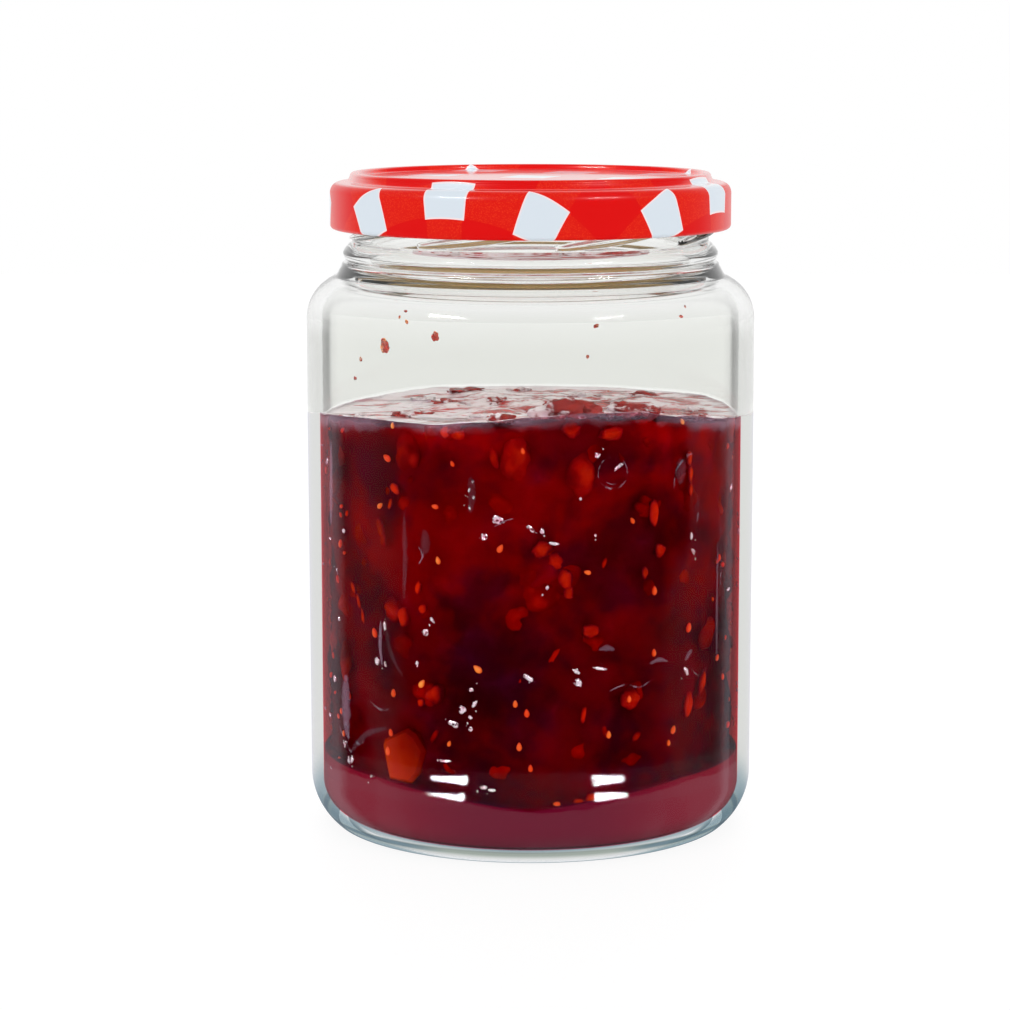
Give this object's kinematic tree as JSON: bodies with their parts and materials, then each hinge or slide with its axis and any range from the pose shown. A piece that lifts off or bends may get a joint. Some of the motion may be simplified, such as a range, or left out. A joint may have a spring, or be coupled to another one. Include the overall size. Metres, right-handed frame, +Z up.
{
  "type": "glass jam jar with lid",
  "caption": "Clear round glass storage jar with a twist-off printed metal lid, about two thirds full of dark red fruit jam.",
  "frame": {"origin": "centre of the jar's standing ring, on the surface it stands on", "axes": "+Z up along the jar's axis; -Y towards the side that is seen first"},
  "size_m": [0.0958, 0.0958, 0.14],
  "materials": {
    "glass": "clear, slightly grey-green, polished",
    "lid": "gloss print over tinplate, gold lacquer inside",
    "jam": "wet, translucent, dark red with fruit pieces and seeds"
  },
  "bodies": {
    "root": {"jar": "glass", "lid": "lid", "jam": "jam"}
  },
  "joints": []
}
